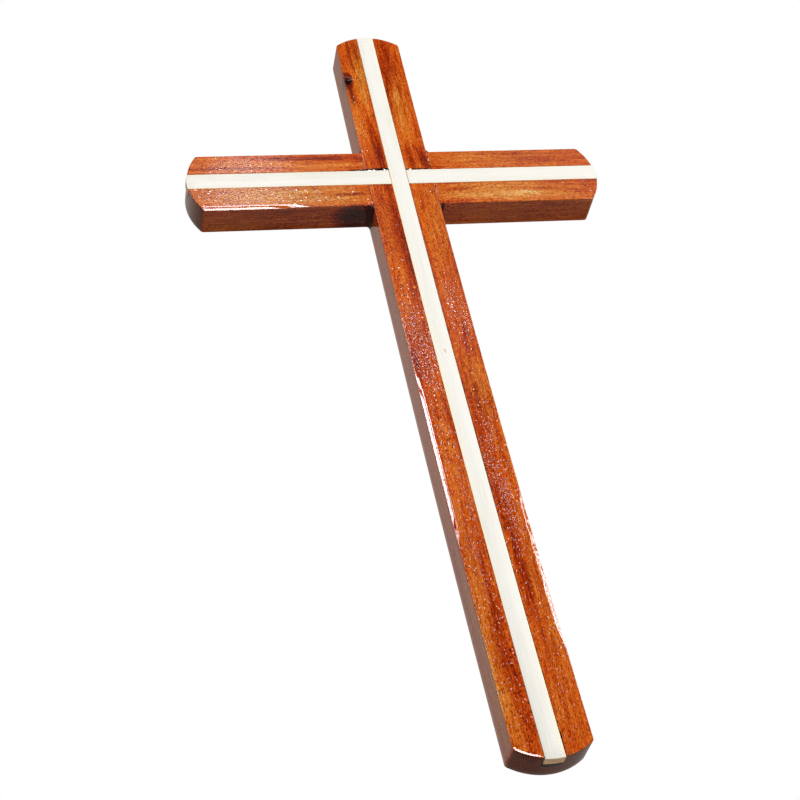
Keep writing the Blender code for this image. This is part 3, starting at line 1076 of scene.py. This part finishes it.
def lacqueredPaleWood(name, turn, middle, width):
    # close-grained cream wood: nearly white, faint fibres, honey-coloured where the lacquer wicked in
    material = bpy.data.materials.new(name)
    material.use_nodes = True
    tree = material.node_tree
    shader = tree.nodes["Principled BSDF"]
    coords = addNode(tree, "TexCoord")
    grain = addNode(tree, "Mapping", {"Vector": coords.outputs["Object"], "Rotation": turn})
    fibre = stretchedNoise(tree, grain, paleWood["fibre"], detail=3.0)
    cloud = stretchedNoise(tree, grain, paleWood["cloud"])
    fibreTone = addNode(tree, "Math", (fibre, paleWood["fibreShare"]), operation="MULTIPLY")
    cloudTone = addNode(tree, "Math", (cloud, paleWood["cloudShare"]), operation="MULTIPLY")
    shade = addNode(tree, "Math", (fibreTone, cloudTone), operation="ADD")
    shade = addNode(tree, "MapRange", (shade, *paleWood["shadeRange"]), interpolation_type="SMOOTHSTEP")

    side = addNode(tree, "SeparateXYZ", (grain,)).outputs["X"]
    side = addNode(tree, "Math", (side, middle), operation="SUBTRACT")
    (leftReach, leftShare), (rightReach, rightShare) = paleWood["leftEdge"], paleWood["rightEdge"]
    leftEdge = addNode(
        tree, "MapRange", (side, -width / 2, leftReach - width / 2, leftShare, 0.0),
        interpolation_type="SMOOTHSTEP",
    )
    rightEdge = addNode(
        tree, "MapRange", (side, width / 2 - rightReach, width / 2, 0.0, rightShare),
        interpolation_type="SMOOTHSTEP",
    )
    edges = addNode(tree, "Math", (leftEdge, rightEdge), operation="ADD")

    colour = linear(paleWood["face"])
    for share, part in (
        (shade, "shade"),
        (edges, "edge"),
        (blob(tree, grain, fleck["at"], fleck["reach"], fleck["share"]), "fleck"),
        (onEndGrain(tree, coords, turn, paleWood["endFade"], 1.0), "endGrain"),
    ):
        colour = addNode(tree, "Mix", {0: share, 6: colour, 7: linear(paleWood[part])}, data_type="RGBA")
    bump = addNode(
        tree, "Bump", {"Strength": paleWood["bumpStrength"], "Distance": paleWood["bump"], "Height": fibre},
    )
    feed(tree, colour, shader.inputs["Base Color"])
    feed(tree, bump, shader.inputs["Coat Normal"])
    shader.inputs["Roughness"].default_value = 0.5
    shader.inputs["Specular IOR Level"].default_value = 0.2
    shader.inputs["Coat Weight"].default_value = 0.35
    shader.inputs["Coat Roughness"].default_value = 0.35
    shader.inputs["Coat IOR"].default_value = 1.5
    return material


darkLacquer = {
    "cloud": (0.8, 2.0), "flakeCell": (0.5, 0.5), "flakeSize": (0.4, 0.5),
    # near black: the pooled lacquer's colour, darkened to paint the shade in the inside corners
    "corners": {
        "base": "300703", "streak": "4e1108", "shine": 0.1, "tilt": (0.4, 0.4, 0.4),
        "centre": noiseMiddle, "roughness": 0.4, "specular": 0.15,
    },
    "seams": {
        "base": "170302", "streak": "2c0806", "shine": 0.9, "tilt": (0.3, 0.3, 0.16),
        "centre": (0.5, 0.5, 1.3), "roughness": 0.08, "specular": 1.0,
    },
}


def pooledLacquer(name, look):
    # lacquer and glue lying thick in a joint: nearly black red, which in the corners is also painted shade,
    # with a wet gloss on the seams
    material = bpy.data.materials.new(name)
    material.use_nodes = True
    tree = material.node_tree
    shader = tree.nodes["Principled BSDF"]
    place = addNode(tree, "TexCoord").outputs["Object"]
    cloud = stretchedNoise(tree, place, darkLacquer["cloud"])
    colour = addNode(
        tree, "Mix", {0: cloud, 6: linear(look["base"]), 7: linear(look["streak"])}, data_type="RGBA",
    )
    cells = flattened(tree, place, darkLacquer["flakeCell"])
    facing, dull = flaked(tree, cells, darkLacquer["flakeSize"], look["shine"], look["tilt"], look["centre"])
    feed(tree, colour, shader.inputs["Base Color"])
    feed(tree, facing, shader.inputs["Normal"])
    shader.inputs["Roughness"].default_value = look["roughness"]
    shader.inputs["Specular IOR Level"].default_value = look["specular"]
    shader.inputs["IOR"].default_value = 1.7
    return material


print("wall cross: bars")
upright = makeUpright()
crossbar = makeCrossbar()
print("wall cross: inlays")
longInlay = makeInlay("longInlay", uprightBar, longLow[0], longHigh[0])
leftInlay = makeInlay("leftInlay", crossbarBar, leftLow[2], leftHigh[2], (-leftHigh[0], -1))
rightInlay = makeInlay("rightInlay", crossbarBar, rightLow[2], rightHigh[2], (-rightLow[0], 1))

print("wall cross: lacquer and glue at the joints")
cornerLacquerAndShade = makeCornerLacquerAndShade()
squeezedGlue = makeSqueezedGlue()

print("wall cross: finishes")
upAndDown = (0, 0, 0)
leftAndRight = (0, math.pi / 2, 0)  # Z then runs along the crossbar to the left, and X up across it
longMiddle = (longLow[0] + longHigh[0]) / 2
armMiddle = (leftLow[2] + leftHigh[2]) / 2
finishes = {
    upright: lacqueredHardwood("lacqueredHardwoodUpright", upAndDown, uprightFigure, uprightCalm, True),
    crossbar: lacqueredHardwood("lacqueredHardwoodCrossbar", leftAndRight, crossbarFigureAndPaintedLight, crossbarCalm, False),
    longInlay: lacqueredPaleWood("lacqueredPaleWoodLong", upAndDown, longMiddle, longHigh[0] - longLow[0]),
}
armPale = lacqueredPaleWood("lacqueredPaleWoodArms", leftAndRight, armMiddle, leftHigh[2] - leftLow[2])
finishes[leftInlay] = armPale
finishes[rightInlay] = armPale
finishes[cornerLacquerAndShade] = pooledLacquer("pooledLacquerAndShadeInCorners", darkLacquer["corners"])
finishes[squeezedGlue] = pooledLacquer("pooledLacquerInSeams", darkLacquer["seams"])

for piece, node, slot in (
    (upright, "upright", "lacquered_hardwood"),
    (crossbar, "crossbar", "lacquered_hardwood"),
    (longInlay, "long_inlay", "pale_inlay_wood"),
    (leftInlay, "left_inlay", "pale_inlay_wood"),
    (rightInlay, "right_inlay", "pale_inlay_wood"),
    (cornerLacquerAndShade, None, "lacquered_hardwood"),
    (squeezedGlue, None, "lacquered_hardwood"),
):
    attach(piece, "root")
    if node:
        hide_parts(node)
    piece.data.materials.clear()
    piece.data.materials.append(finishes[piece])
